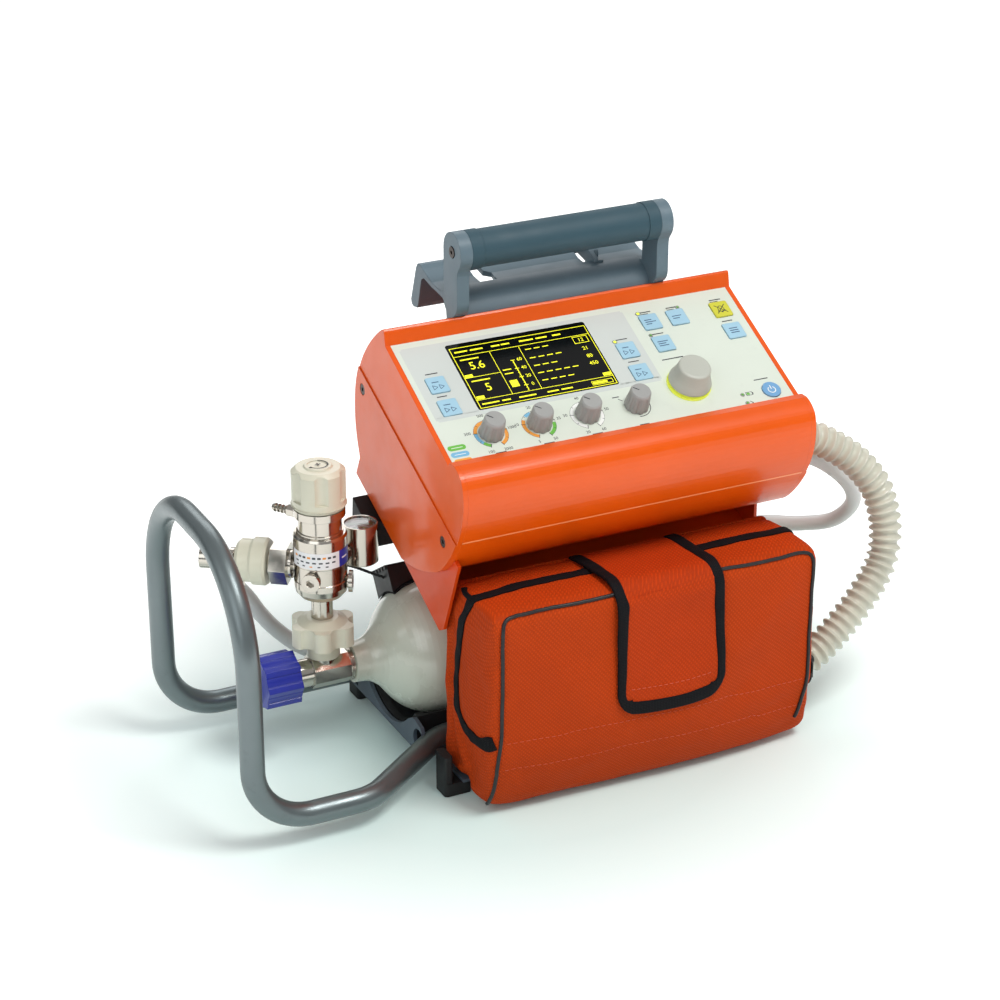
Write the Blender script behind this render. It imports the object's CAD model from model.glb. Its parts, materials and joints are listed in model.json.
import bpy, bmesh, json, math
from mathutils import Vector, Matrix, noise
from mathutils.bvhtree import BVHTree


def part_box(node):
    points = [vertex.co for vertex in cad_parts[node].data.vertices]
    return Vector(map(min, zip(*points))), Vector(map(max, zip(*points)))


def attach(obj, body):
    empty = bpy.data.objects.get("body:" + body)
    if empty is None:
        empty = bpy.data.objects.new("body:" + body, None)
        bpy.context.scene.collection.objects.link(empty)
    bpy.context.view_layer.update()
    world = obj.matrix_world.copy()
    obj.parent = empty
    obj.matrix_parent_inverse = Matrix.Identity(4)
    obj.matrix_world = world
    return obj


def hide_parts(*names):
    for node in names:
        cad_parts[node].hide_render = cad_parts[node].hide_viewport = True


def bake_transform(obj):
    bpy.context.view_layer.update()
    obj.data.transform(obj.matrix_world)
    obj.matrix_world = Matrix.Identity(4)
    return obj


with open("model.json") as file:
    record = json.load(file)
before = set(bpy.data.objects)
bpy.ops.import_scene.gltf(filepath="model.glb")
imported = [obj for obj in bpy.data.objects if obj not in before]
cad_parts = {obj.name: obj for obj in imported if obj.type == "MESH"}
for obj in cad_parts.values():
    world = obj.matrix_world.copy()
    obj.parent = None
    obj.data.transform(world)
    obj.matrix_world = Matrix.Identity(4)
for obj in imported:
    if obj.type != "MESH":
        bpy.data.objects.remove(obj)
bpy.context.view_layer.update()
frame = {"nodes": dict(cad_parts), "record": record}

N = frame["nodes"]
BODY = {n: b for b, ns in frame["record"]["behaviour"]["bodies"].items() for n in ns}
col0 = bpy.context.scene.collection

# ---- the part's own working coordinates, in mm, with the panel's slope --------
OX, OY = round(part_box("guard_tube")[0].x * 1000 + 316.0, 1), 41.5   # the hoop's left side is at -316
TILT = math.radians(26.26); CT, ST = math.cos(TILT), math.sin(TILT)
def M(x, y, z): return Vector(((x + OX) / 1000, (y + OY) / 1000, z / 1000))
def pan(u, v, h=0.0): return M(u, -v * CT - h * ST, 322 - v * ST + h * CT)
def polar(r, a): return r * math.cos(math.radians(a)), r * math.sin(math.radians(a))

# ---- camera ---------------------------------------------------------------------
cam = bpy.data.cameras.new("camera")
camo = bpy.data.objects.new("camera", cam); col0.objects.link(camo)
camo.location = ((OX - 879.1) / 1000, -1.6358, 1.0347)
camo.rotation_euler = (math.radians(65.43), 0, math.radians(-26.24))
cam.lens = 96.36; cam.sensor_width = 36; cam.sensor_height = 36; cam.sensor_fit = "HORIZONTAL"
cam.clip_start = 0.05; cam.clip_end = 50
bpy.context.scene.camera = camo
bpy.context.scene.view_settings.view_transform = "Standard"
bpy.context.scene.view_settings.look = "None"

# ================================================================== materials ====
def lin(r, g, b):
    f = lambda x: x / 12.92 if x <= 0.04045 else ((x + 0.055) / 1.055) ** 2.4
    return (f(r / 255), f(g / 255), f(b / 255))

class Mat:
    def __init__(s, name):
        s.m = bpy.data.materials.new(name); s.m.use_nodes = True
        s.t = s.m.node_tree; s.n = s.t.nodes; s.n.clear()
        s.out = s.n.new("ShaderNodeOutputMaterial"); s.b = s.n.new("ShaderNodeBsdfPrincipled")
        s.link(s.b.outputs[0], s.out.inputs["Surface"])
        s.co = s.n.new("ShaderNodeTexCoord").outputs["Object"]
    def link(s, a, b): s.t.links.new(a, b)
    def put(s, key, v): s.b.inputs[key].default_value = v
    def scaled(s, sx, sy, sz, rot=(0, 0, 0), co=None):
        mp = s.n.new("ShaderNodeMapping"); mp.inputs["Scale"].default_value = (sx, sy, sz)
        mp.inputs["Rotation"].default_value = rot
        s.link(co or s.co, mp.inputs["Vector"]); return mp.outputs[0]
    def noise(s, scale, detail=3.0, rough=0.55, co=None):
        t = s.n.new("ShaderNodeTexNoise"); t.inputs["Scale"].default_value = scale
        t.inputs["Detail"].default_value = detail; t.inputs["Roughness"].default_value = rough
        s.link(co or s.co, t.inputs["Vector"]); return t.outputs["Fac"]
    def voronoi(s, scale, co=None, feature="F1"):
        t = s.n.new("ShaderNodeTexVoronoi"); t.feature = feature; t.inputs["Scale"].default_value = scale
        s.link(co or s.co, t.inputs["Vector"]); return t.outputs["Distance"]
    def wave(s, scale, direction="X", co=None, distort=0.0, dscale=1.0):
        t = s.n.new("ShaderNodeTexWave"); t.wave_type = "BANDS"; t.bands_direction = direction; t.wave_profile = "SIN"
        t.inputs["Scale"].default_value = scale; t.inputs["Distortion"].default_value = distort
        t.inputs["Detail Scale"].default_value = dscale
        s.link(co or s.co, t.inputs["Vector"]); return t.outputs["Fac"]
    def ramp(s, fac, stops):
        r = s.n.new("ShaderNodeValToRGB"); e = r.color_ramp.elements
        while len(e) < len(stops): e.new(0.5)
        for i, (p, c) in enumerate(stops):
            e[i].position = p; e[i].color = tuple(c) + (1.0,) if len(c) == 3 else c
        s.link(fac, r.inputs["Fac"]); return r.outputs["Color"]
    def rng(s, fac, a, b, lo=0.3, hi=0.7):
        r = s.n.new("ShaderNodeMapRange"); r.inputs["From Min"].default_value = lo; r.inputs["From Max"].default_value = hi
        r.inputs["To Min"].default_value = a; r.inputs["To Max"].default_value = b
        s.link(fac, r.inputs["Value"]); return r.outputs[0]
    def math(s, op, a, b=None):
        m = s.n.new("ShaderNodeMath"); m.operation = op
        for i, x in enumerate((a, b)):
            if x is None: continue
            if isinstance(x, (int, float)): m.inputs[i].default_value = x
            else: s.link(x, m.inputs[i])
        return m.outputs[0]
    def mix(s, fac, a, b, mode="MIX"):
        m = s.n.new("ShaderNodeMix"); m.data_type = "RGBA"; m.blend_type = mode
        for key, x in (("Factor", fac), ("A", a), ("B", b)):
            sock = [i for i in m.inputs if i.name == key and i.enabled and (key == "Factor" and i.type == "VALUE" or key != "Factor" and i.type == "RGBA")][0]
            if isinstance(x, (int, float)): sock.default_value = x
            elif isinstance(x, tuple): sock.default_value = tuple(x) + (1.0,) if len(x) == 3 else x
            else: s.link(x, sock)
        return [o for o in m.outputs if o.type == "RGBA"][0]
    def color(s, x): s.link(x, s.b.inputs["Base Color"])
    def rough(s, x): s.link(x, s.b.inputs["Roughness"])
    def bump(s, heights, bevel=0.0):
        """heights: (socket, strength, distance in m)"""
        normal = None
        if bevel:
            bv = s.n.new("ShaderNodeBevel"); bv.samples = 4; bv.inputs["Radius"].default_value = bevel
            normal = bv.outputs[0]
        for h, st, di in heights:
            bp = s.n.new("ShaderNodeBump"); bp.inputs["Strength"].default_value = st; bp.inputs["Distance"].default_value = di
            s.link(h, bp.inputs["Height"])
            if normal is not None: s.link(normal, bp.inputs["Normal"])
            normal = bp.outputs[0]
        s.link(normal, s.b.inputs["Normal"])

def mul(c, k): return tuple(min(1.0, x * k) for x in c)

def surf(name, c, rough=0.4, metal=0.0, coat=0.0, coat_rough=0.08, var=0.05, vscale=14.0, rvar=0.06, grain=1400.0,
         bump=0.12, dist=0.00012, stretch=None, spec=0.5, smear=None, bevel=0.0, sheen=0.0, big=None):
    """A hard surface: slow colour drift, uneven gloss, a fine grain, and handling marks where smear is given."""
    m = Mat(name)
    drift = m.noise(vscale, 4.0, 0.6)
    base = m.ramp(drift, [(0.3, mul(c, 1 - var)), (0.7, mul(c, 1 + var))])
    if smear:
        marks = m.ramp(m.noise(vscale * 5, 6.0, 0.7), [(0.58, (0, 0, 0)), (0.72, (1, 1, 1))])
        base = m.mix(m.math("MULTIPLY", marks, smear[1]), base, smear[0])
    m.color(base)
    g = m.noise(grain, 2.0, 0.5, m.scaled(*stretch) if stretch else None)
    m.rough(m.math("ADD", m.rng(m.noise(vscale * 3.3, 3.0), rough - rvar, rough + rvar), m.math("MULTIPLY", g, rvar * 0.6)))
    hs = [(g, bump, dist)]
    if big: hs.append((m.noise(big[0], 2.0), big[1], big[2]))
    m.bump(hs, bevel)
    m.put("Metallic", metal); m.put("Coat Weight", coat); m.put("Coat Roughness", coat_rough); m.put("Specular IOR Level", spec)
    if sheen: m.put("Sheen Weight", sheen); m.put("Sheen Roughness", 0.5)
    return m.m

def weave(name, c, scale=520.0, dark=0.62, rough=0.75, sheen=0.35, dist=0.00022, var=0.10, diag=True, light=1.12, twill=True):
    """Woven cloth: crossed diagonal threads that stand proud and catch light, on slow folds and fading."""
    m = Mat(name)
    a = m.scaled(1, 1, 1, (0, math.radians(45), math.radians(35)) if diag else (0, 0, 0))
    w1 = m.wave(scale * 0.27, "X", a, 0.6, 3.0); w2 = m.wave(scale * 0.27, "Z", a, 0.6, 3.0)
    th = m.math("MULTIPLY", w1, w2) if twill else w1
    fine = m.noise(scale * 6, 2.0)
    drift = m.ramp(m.noise(9.0, 4.0, 0.6), [(0.3, mul(c, 1 - var)), (0.72, mul(c, 1 + var))])
    worn = m.mix(m.rng(m.noise(42.0, 5.0, 0.65), 0.0, 0.35, 0.5, 0.8), drift, mul(c, 1.35))
    col = m.mix(m.rng(th, 0.0, 1.0, 0.05, 0.75), m.mix(0.5, worn, mul(c, dark)), m.mix(0.5, worn, mul(c, light)))
    m.color(col)
    m.rough(m.rng(fine, rough - 0.08, min(1.0, rough + 0.1)))
    m.bump([(m.noise(60.0, 3.0), 0.25, 0.0006), (th, 0.85, dist * 1.6), (fine, 0.15, 0.00005)])
    m.put("Sheen Weight", sheen); m.put("Sheen Roughness", 0.4); m.put("Sheen Tint", mul(c, 1.6) + (1.0,))
    m.put("Specular IOR Level", 0.18)
    return m.m

def lamp_mat(name, c, strength, rough=0.3):
    m = Mat(name)
    g = m.noise(300.0, 2.0)
    m.color(m.ramp(g, [(0.3, mul(c, 0.85)), (0.7, mul(c, 1.0))]))
    m.rough(m.rng(g, rough - 0.05, rough + 0.05)); m.put("Emission Color", tuple(c) + (1.0,)); m.put("Emission Strength", strength)
    return m.m

ORANGE = lin(228, 86, 0)
mats = {
 "casing": surf("casing_orange", ORANGE, rough=0.34, coat=0.30, coat_rough=0.12, spec=0.3, var=0.05, grain=900, bump=0.05, dist=0.00012,
                smear=(lin(238, 100, 14), 0.10), bevel=0.0007, big=(26, 0.04, 0.0006)),
 "sheet": surf("sheet_orange", lin(214, 68, 0), rough=0.42, coat=0.15, spec=0.3, var=0.06, grain=1500, bump=0.12, bevel=0.0005),
 "panel": surf("panel_offwhite", lin(214, 222, 210), rough=0.46, var=0.02, grain=2600, bump=0.10, dist=0.00008, bevel=0.0004,
               smear=(lin(192, 200, 190), 0.18)),
 "window": surf("window_black", lin(6, 7, 8), rough=0.16, coat=0.25, spec=0.25, coat_rough=0.06, var=0.1, rvar=0.03, bump=0.01, bevel=0.0003),
 "board": surf("board_green", lin(28, 92, 52), rough=0.5, grain=700, bump=0.3),
 "key_blue": surf("key_blue", lin(160, 200, 220), rough=0.42, var=0.03, grain=2200, bump=0.16, bevel=0.0006, coat=0.1),
 "key_yellow": surf("key_yellow", lin(208, 206, 58), rough=0.42, var=0.03, grain=2200, bump=0.16, bevel=0.0006, coat=0.1),
 "key_power": surf("key_power_blue", lin(112, 164, 208), rough=0.40, var=0.03, grain=2200, bump=0.16, bevel=0.0006, coat=0.1),
 "knob_grey": surf("knob_grey", lin(158, 158, 156), rough=0.48, var=0.04, grain=1900, bump=0.28, bevel=0.0005),
 "knob_warm": surf("knob_warm", lin(182, 184, 174), rough=0.44, var=0.03, grain=1900, bump=0.24, bevel=0.0006),
 "ring": lamp_mat("ring_lit", lin(205, 214, 70), 0.55),
 "black": surf("black_plastic", lin(24, 25, 27), rough=0.48, var=0.15, grain=1500, bump=0.30, bevel=0.0006),
 "alu": surf("block_aluminium", lin(190, 190, 194), rough=0.34, metal=1.0, var=0.04, grain=900, stretch=(1, 12, 1), bump=0.2),
 "nickel": surf("polished_nickel", lin(196, 190, 180), rough=0.15, metal=1.0, var=0.03, vscale=30, rvar=0.045, grain=1200, stretch=(1, 1, 0.08), bump=0.05, dist=0.00006, bevel=0.0005),
 "screw": surf("screw_dark", lin(74, 66, 62), rough=0.4, metal=0.8, var=0.1, vscale=60, grain=1800, bump=0.2, bevel=0.0003),
 "seam": surf("seam_bright", lin(248, 150, 96), rough=0.35, coat=0.3, grain=1800, bump=0.1),
 "steel": surf("screw_steel", lin(176, 176, 178), rough=0.3, metal=1.0, var=0.06, vscale=60, grain=1800, bump=0.15, bevel=0.0003),
 "slate": surf("bracket_slate", lin(92, 112, 123), rough=0.50, var=0.05, grain=1100, bump=0.35, dist=0.00014, coat=0.12, coat_rough=0.3, bevel=0.0009,
               smear=(lin(126, 144, 156), 0.18)),
 "grip": surf("grip_slate", lin(44, 74, 86), rough=0.58, var=0.07, grain=1500, bump=0.55, dist=0.00016, bevel=0.0008),
 "tube": surf("tube_satin", lin(114, 124, 126), rough=0.34, metal=0.72, var=0.05, vscale=10, grain=900, stretch=(0.6, 1, 0.6), bump=0.10, coat=0.15, coat_rough=0.25,
              smear=(lin(86, 92, 94), 0.3)),
 "pan": surf("pan_slate", lin(80, 91, 103), rough=0.55, var=0.06, grain=1300, bump=0.35, bevel=0.0005),
 "rubber": surf("black_rubber", lin(20, 21, 23), rough=0.62, var=0.2, vscale=22, grain=1500, bump=0.5, dist=0.00016, bevel=0.0008, smear=(lin(52, 54, 58), 0.25)),
 "cylinder": surf("cylinder_cream", lin(208, 213, 198), rough=0.26, coat=0.6, coat_rough=0.08, var=0.02, vscale=9, grain=500, bump=0.05, dist=0.0002,
                  smear=(lin(198, 196, 180), 0.22), big=(18, 0.05, 0.0008)),
 "cream": surf("cream_plastic", lin(212, 210, 190), rough=0.38, var=0.025, grain=1600, bump=0.14, coat=0.15, bevel=0.0008, smear=(lin(200, 190, 166), 0.2)),
 "wheel": surf("wheel_blue", lin(20, 36, 150), rough=0.34, var=0.07, grain=1300, bump=0.16, coat=0.35, bevel=0.0009, smear=(lin(58, 68, 178), 0.2)),
 "dial": surf("dial_white", lin(236, 237, 232), rough=0.55, var=0.01, grain=2500, bump=0.05),
 "hose_grey": surf("hose_grey", lin(205, 205, 204), rough=0.40, var=0.03, vscale=20, grain=700, bump=0.16, dist=0.0002, coat=0.15, coat_rough=0.25, smear=(lin(184, 184, 182), 0.25)),
 "bag": weave("bag_cloth", lin(190, 62, 2), scale=560.0, sheen=0.08),
 "bag_flap": weave("flap_cloth", lin(188, 58, 2), scale=560.0, sheen=0.08),
 "tape": weave("binding_tape", lin(14, 14, 18), scale=900.0, dark=0.5, light=1.5, sheen=0.25, dist=0.0002, diag=False, twill=True),
 "piping": surf("piping_black", lin(11, 11, 14), rough=0.58, var=0.2, vscale=60, grain=1600, bump=0.4, dist=0.0001, coat=0.15),
 "strap": weave("strap_webbing", lin(26, 26, 29), scale=800.0, dark=0.45, light=1.8, sheen=0.3, dist=0.0004, diag=False),
 "thread": surf("thread_orange", lin(200, 72, 26), rough=0.7, grain=4000, bump=0.6, sheen=0.3),
 "print_grey": surf("print_grey", lin(202, 208, 204), rough=0.5, var=0.02, grain=2600, bump=0.08),
 "print_dark": surf("print_dark", lin(40, 44, 50), rough=0.5, var=0.05, grain=2600, bump=0.06),
 "print_green": surf("print_green", lin(104, 184, 66), rough=0.5, var=0.04, grain=2600, bump=0.06),
 "print_blue": surf("print_blue", lin(116, 180, 216), rough=0.5, var=0.04, grain=2600, bump=0.06),
 "print_orange": surf("print_orange", lin(236, 156, 58), rough=0.5, var=0.04, grain=2600, bump=0.06),
 "print_white": surf("print_white", lin(238, 240, 236), rough=0.5, var=0.02, grain=2600, bump=0.06),
 "print_icon": surf("print_icon", lin(44, 74, 116), rough=0.5, var=0.04, grain=2600, bump=0.06),
 "label_white": surf("label_white", lin(234, 234, 236), rough=0.35, var=0.02, grain=2000, bump=0.06, coat=0.3),
 "label_blue": surf("label_blue", lin(34, 48, 160), rough=0.35, var=0.04, grain=2000, bump=0.06, coat=0.3),
 "screen": lamp_mat("screen_yellow", lin(232, 230, 40), 0.85),
 "led": lamp_mat("lamp_lime", lin(200, 226, 60), 1.2),
 "collar": surf("collar_grey", lin(176, 176, 190), rough=0.4, var=0.03, grain=1600, bump=0.12, coat=0.1),
}
def glass(name, c, rough=0.05, trans=1.0, ior=1.45):
    m = Mat(name); g = m.noise(60.0, 4.0)
    m.color(m.ramp(g, [(0.3, mul(c, 0.97)), (0.7, c)])); m.rough(m.rng(g, rough, rough + 0.03))
    m.put("Transmission Weight", trans); m.put("IOR", ior); m.put("Coat Weight", 0.3)
    return m.m
mats["glass"] = glass("gauge_glass", (0.93, 0.96, 0.96))

def milky(name, c):
    m = Mat(name); g = m.noise(24.0, 4.0, 0.6)
    m.color(m.ramp(g, [(0.3, mul(c, 0.93)), (0.7, mul(c, 1.04))]))
    m.rough(m.rng(m.noise(90.0), 0.30, 0.42)); m.put("Subsurface Weight", 0.35); m.put("Subsurface Radius", (0.004, 0.004, 0.0035))
    m.put("Coat Weight", 0.35); m.put("Coat Roughness", 0.18); m.put("Specular IOR Level", 0.5)
    m.bump([(m.noise(500.0, 3.0), 0.12, 0.0002)])
    return m.m
mats["hose_clear"] = milky("hose_milky", lin(206, 205, 190))
mats["hose_core"] = milky("hose_core", lin(196, 192, 172))

use = {
 "casing": ["casing_shell", "end_plate_left", "end_plate_right"], "sheet": ["mount_bracket"], "panel": ["front_panel"],
 "window": ["display_window"], "board": ["display_module", "main_board"],
 "key_blue": ["key_hold_upper", "key_hold_lower", "key_value_upper", "key_value_lower", "key_mode_1", "key_mode_2", "key_mode_3", "key_menu"],
 "key_yellow": ["key_alarm"], "key_power": ["key_power"], "knob_grey": ["knob_1", "knob_2", "knob_3", "knob_4"],
 "knob_warm": ["encoder_knob"], "ring": ["encoder_ring"], "steel": ["control_shafts"], "screw": ["case_screws"],
 "black": ["battery_pack", "strap_buckle", "zip_pull", "gauge_needle"], "alu": ["pneumatic_block"],
 "nickel": ["gas_inlet", "valve_body", "regulator_body", "regulator_plugs", "nipple", "gauge_case", "coupling_body", "hose_elbow"],
 "slate": ["handle_bracket"], "grip": ["handle_grip"], "tube": ["guard_tube"], "pan": ["base_pan"],
 "rubber": ["rear_rest", "base_feet", "cylinder_cradles"], "cylinder": ["gas_cylinder"],
 "cream": ["patient_port", "union_handwheel", "regulator_knob", "coupling_sleeve"], "wheel": ["valve_handwheel"],
 "dial": ["gauge_dial"], "glass": ["gauge_glass"],
}
for k, nodes in use.items():
    for n in nodes:
        o = N[n]; o.data.materials.clear(); o.data.materials.append(mats[k])

# ================================================================ mesh helpers ====
def finish_mesh(name, bm, mat, body, smooth=None, recalc=True):
    me = bpy.data.meshes.new(name)
    if recalc: bmesh.ops.recalc_face_normals(bm, faces=bm.faces)
    bm.to_mesh(me); bm.free()
    for k in (mat if isinstance(mat, (list, tuple)) else [mat]): me.materials.append(mats[k])
    if smooth is not None:
        me.polygons.foreach_set("use_smooth", [True] * len(me.polygons))
        me.set_sharp_from_angle(angle=math.radians(smooth))
    o = bpy.data.objects.new(name, me); col0.objects.link(o)
    if body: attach(o, body)
    return o

def prism(bm, pts, place, h0, h1, mi=0):
    """A flat printed shape with its own small thickness; pts are (a, b), counter-clockwise or not."""
    lo = [bm.verts.new(place(a, b, h0)) for a, b in pts]; hi = [bm.verts.new(place(a, b, h1)) for a, b in pts]
    fs = [bm.faces.new(hi), bm.faces.new(lo[::-1])]
    n = len(pts)
    fs += [bm.faces.new([lo[i], lo[(i + 1) % n], hi[(i + 1) % n], hi[i]]) for i in range(n)]
    for f in fs: f.material_index = mi
def strip(bm, A, B, place, h0, h1, mi=0):
    """A band between two rows of points."""
    n = len(A)
    g = [[bm.verts.new(place(p[0], p[1], h)) for p in row] for row, h in ((A, h1), (B, h1), (B, h0), (A, h0))]
    fs = []
    for i in range(n - 1):
        for r in range(4):
            s2 = (r + 1) % 4
            fs.append(bm.faces.new([g[r][i], g[r][i + 1], g[s2][i + 1], g[s2][i]]))
    fs.append(bm.faces.new([g[r][0] for r in range(4)])); fs.append(bm.faces.new([g[r][n - 1] for r in (3, 2, 1, 0)]))
    for f in fs: f.material_index = mi
def rr(u0, v0, u1, v1, r=0.0, k=5):
    if r <= 0: return [(u0, v0), (u1, v0), (u1, v1), (u0, v1)]
    P = []
    for cu, cv, a0 in ((u1 - r, v0 + r, -90), (u1 - r, v1 - r, 0), (u0 + r, v1 - r, 90), (u0 + r, v0 + r, 180)):
        for i in range(k + 1):
            a = math.radians(a0 + 90 * i / k); P.append((cu + r * math.cos(a), cv + r * math.sin(a)))
    return P
def frame_loop(bm, u0, v0, u1, v1, w, place, h0, h1, mi=0, r=0.0):
    O = rr(u0, v0, u1, v1, r); I = rr(u0 + w, v0 + w, u1 - w, v1 - w, max(r - w, 0.0) if r else 0.0)
    if r and len(I) != len(O): I = rr(u0 + w, v0 + w, u1 - w, v1 - w, 0.05)
    O = O + O[:1]; I = I + I[:1]
    strip(bm, O, I, place, h0, h1, mi)
def line(bm, p, q, w, place, h0, h1, mi=0):
    d = Vector((q[0] - p[0], q[1] - p[1])); d.normalize(); s = Vector((-d.y, d.x)) * w / 2
    prism(bm, [(p[0] + s.x, p[1] + s.y), (q[0] + s.x, q[1] + s.y), (q[0] - s.x, q[1] - s.y), (p[0] - s.x, p[1] - s.y)], place, h0, h1, mi)
def clock(u, v, r, a): a = math.radians(a); return (u + r * math.sin(a), v - r * math.cos(a))
def arc(bm, u, v, r0, r1, a0, a1, place, h0, h1, mi=0):
    n = max(3, int(abs(a1 - a0) / 5) + 1)
    A = [clock(u, v, r0, a0 + (a1 - a0) * i / n) for i in range(n + 1)]; B = [clock(u, v, r1, a0 + (a1 - a0) * i / n) for i in range(n + 1)]
    strip(bm, A, B, place, h0, h1, mi)
def outline(bm, pts, w, place, h0, h1, mi=0, closed=True):
    n = len(pts)
    for i in range(n if closed else n - 1): line(bm, pts[i], pts[(i + 1) % n], w, place, h0, h1, mi)
glyphs = {}
def digits(bm, text, size, u, v, place, h0, h1, mi=0, turn=0.0):
    """Numbers only, centred on (u, v), size is the height of a figure in mm."""
    if text not in glyphs:
        cu = bpy.data.curves.new("figures", "FONT"); cu.body = text; cu.size = 1.0; cu.align_x = "CENTER"; cu.align_y = "CENTER"
        cu.resolution_u = 3; cu.offset = 0.002
        ob = bpy.data.objects.new("figures", cu); col0.objects.link(ob); bpy.context.view_layer.update()
        me = bpy.data.meshes.new_from_object(ob.evaluated_get(bpy.context.evaluated_depsgraph_get()))
        glyphs[text] = ([v.co.copy() for v in me.vertices], [list(p.vertices) for p in me.polygons])
        bpy.data.objects.remove(ob); bpy.data.meshes.remove(me); bpy.data.curves.remove(cu)
    vs, fs = glyphs[text]; k = size / 0.70; c, s = math.cos(math.radians(turn)), math.sin(math.radians(turn))
    def at(p, h): return place(u + k * (p.x * c + p.y * s), v - k * (p.y * c - p.x * s), h)
    top = [bm.verts.new(at(p, h1)) for p in vs]; low = [bm.verts.new(at(p, h0)) for p in vs]
    edges = {}
    for f in fs:
        t = bm.faces.new([top[i] for i in f]); t.material_index = mi
        t = bm.faces.new([low[i] for i in reversed(f)]); t.material_index = mi
        for i in range(len(f)):
            e = (f[i], f[(i + 1) % len(f)])
            if (e[1], e[0]) in edges: del edges[(e[1], e[0])]
            else: edges[e] = 1
    for a, b in edges:
        t = bm.faces.new([top[a], low[a], low[b], top[b]]); t.material_index = mi

def lathe(bm, profile, place, k=32, mi=0, cap0=True, cap1=True):
    """profile: (radius, height); place(x, y, h)."""
    rows = [[bm.verts.new(place(r * math.cos(2 * math.pi * i / k), r * math.sin(2 * math.pi * i / k), h)) for i in range(k)] for r, h in profile]
    for a, b in zip(rows, rows[1:]):
        for i in range(k): bm.faces.new([a[i], a[(i + 1) % k], b[(i + 1) % k], b[i]]).material_index = mi
    if cap0: bm.faces.new(rows[0][::-1]).material_index = mi
    if cap1: bm.faces.new(rows[-1]).material_index = mi

def spline(pts, step):
    """The part's own smooth curve through its route points, in m, with points every step."""
    p = [M(*q) for q in pts]; p = [p[0]] + p + [p[-1]]; out = []
    for i in range(1, len(p) - 2):
        a, b, c, d = p[i - 1], p[i], p[i + 1], p[i + 2]
        for k in range(24):
            t = k / 24
            out.append(0.5 * (2 * b + (c - a) * t + (2 * a - 5 * b + 4 * c - d) * t * t + (3 * b - a - 3 * c + d) * t ** 3))
    out.append(p[-2])
    return resample(out, step)
def resample(pts, step):
    L = [0.0]
    for a, b in zip(pts, pts[1:]): L.append(L[-1] + (b - a).length)
    n = max(2, round(L[-1] / step)); out = []; j = 0
    for i in range(n + 1):
        s = L[-1] * i / n
        while j < len(L) - 2 and L[j + 1] < s: j += 1
        d = L[j + 1] - L[j]; out.append(pts[j].lerp(pts[j + 1], (s - L[j]) / d if d > 0 else 0.0))
    return out
def frames(path):
    T = [(path[min(i + 1, len(path) - 1)] - path[max(i - 1, 0)]).normalized() for i in range(len(path))]
    u = T[0].cross(Vector((0, 0, 1)) if abs(T[0].z) < 0.9 else Vector((1, 0, 0))).normalized(); F = []
    for t in T:
        u = (u - t * u.dot(t)).normalized(); F.append((t, u, t.cross(u)))
    return F
def tube(bm, path, radius, k=20, mi=0, caps=True):
    """radius is a number or a function of (index, share of the length)."""
    F = frames(path); rows = []
    for i, (p, (t, u, w)) in enumerate(zip(path, F)):
        r = radius(i, i / (len(path) - 1)) if callable(radius) else radius
        rows.append([bm.verts.new(p + (u * math.cos(2 * math.pi * j / k) + w * math.sin(2 * math.pi * j / k)) * r) for j in range(k)])
    for a, b in zip(rows, rows[1:]):
        for j in range(k): bm.faces.new([a[j], a[(j + 1) % k], b[(j + 1) % k], b[j]]).material_index = mi
    if caps: bm.faces.new(rows[0][::-1]).material_index = mi; bm.faces.new(rows[-1]).material_index = mi
def along(p, d):
    """place() for a lathe whose axis leaves p in direction d; lengths in mm."""
    d = d.normalized(); u = d.cross(Vector((0, 0, 1)) if abs(d.z) < 0.9 else Vector((1, 0, 0))).normalized(); w = d.cross(u)
    return lambda x, y, h: p + (u * x + w * y + d * h) / 1000

# ===================================================================== the bag ====
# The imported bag's side outline (y, Z): it leans out at the front, sags under its load and slopes away at the back
def bag_outline():
    return [(-161.5, 166), (-163.5, 120), (-164, 66), (-161.5, 46), (-157, 25), (-151, 10.0), (-131, 6.6), (-117, 8.4), (-111, 14.8), (-100, 15.2), (-84, 17), (-80.5, 26), (-80, 90), (-80.5, 150), (-84, 166), (-92, 171.5), (-120, 173), (-150, 173.5), (-158, 171.5)]
def smooth_loop(P, sub):
    n = len(P); out = []
    for i in range(n):
        a, b, c, d = (Vector(P[(i + k) % n]) for k in (-1, 0, 1, 2))
        L = (c - b).length; m = max(1, round(L / sub))
        for k in range(m):
            t = k / m
            cr = 0.5 * (2 * b + (c - a) * t + (2 * a - 5 * b + 4 * c - d) * t * t + (3 * b - a - 3 * c + d) * t ** 3)
            out.append(b.lerp(c, t) if L > 25 else cr)
    return out
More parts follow.
